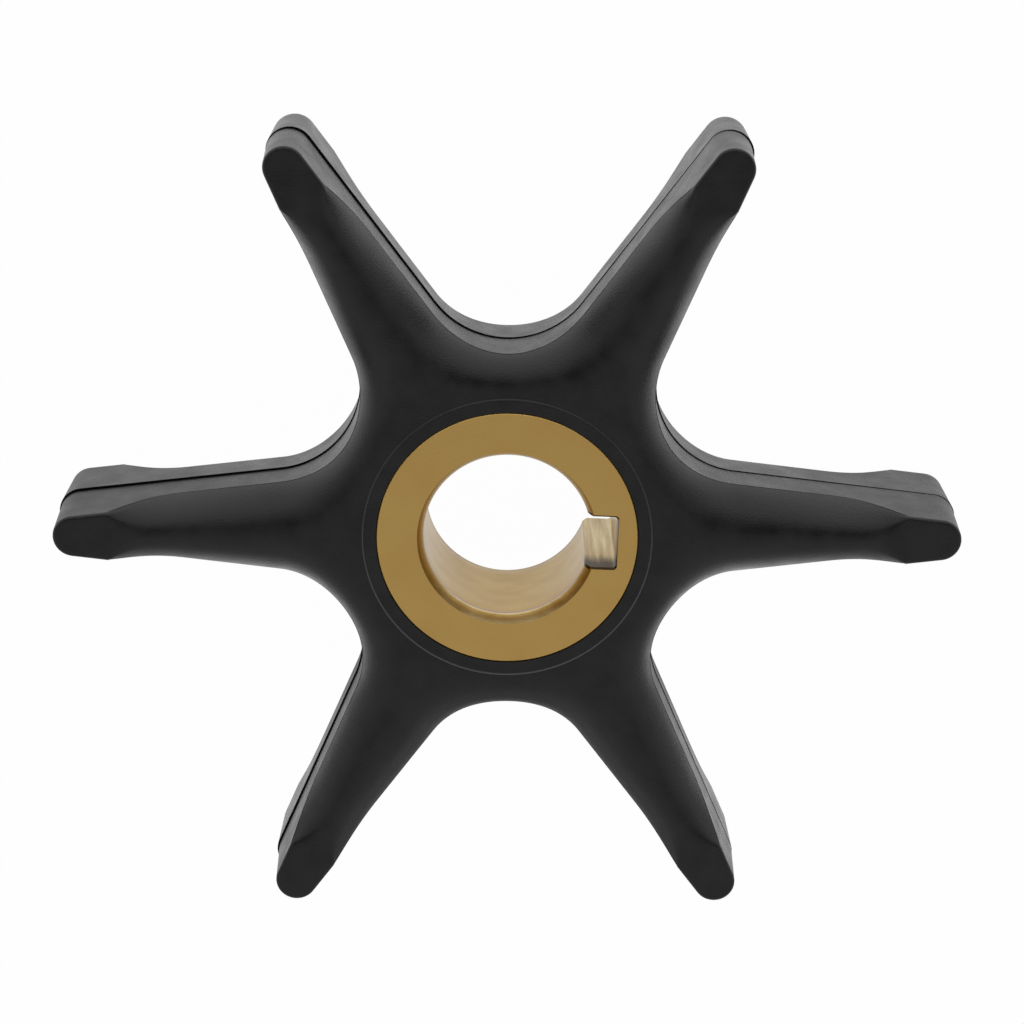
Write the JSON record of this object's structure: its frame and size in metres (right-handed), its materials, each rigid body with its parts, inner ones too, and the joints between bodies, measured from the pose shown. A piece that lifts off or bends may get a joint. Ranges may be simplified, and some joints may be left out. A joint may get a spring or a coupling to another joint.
{
  "type": "pump impeller",
  "caption": "Flat star-shaped pump impeller: flexible rubber vanes moulded round a keyed brass bush, which push water round an offset pump housing.",
  "frame": {"origin": "middle of the lower face, on the bore axis", "axes": "+Z along the bore axis and up as the part lies flat, +X along the vane that the keyway points at, +Y in the plane of the face, across that vane"},
  "size_m": [0.06, 0.0524, 0.0106],
  "materials": {
    "moulded_rubber": "satin moulded black",
    "turned_brass": "satin turned faces, polished bore"
  },
  "bodies": {
    "root": {"rubber_vane_body": "moulded_rubber", "keyed_brass_bush": "turned_brass"}
  },
  "joints": []
}
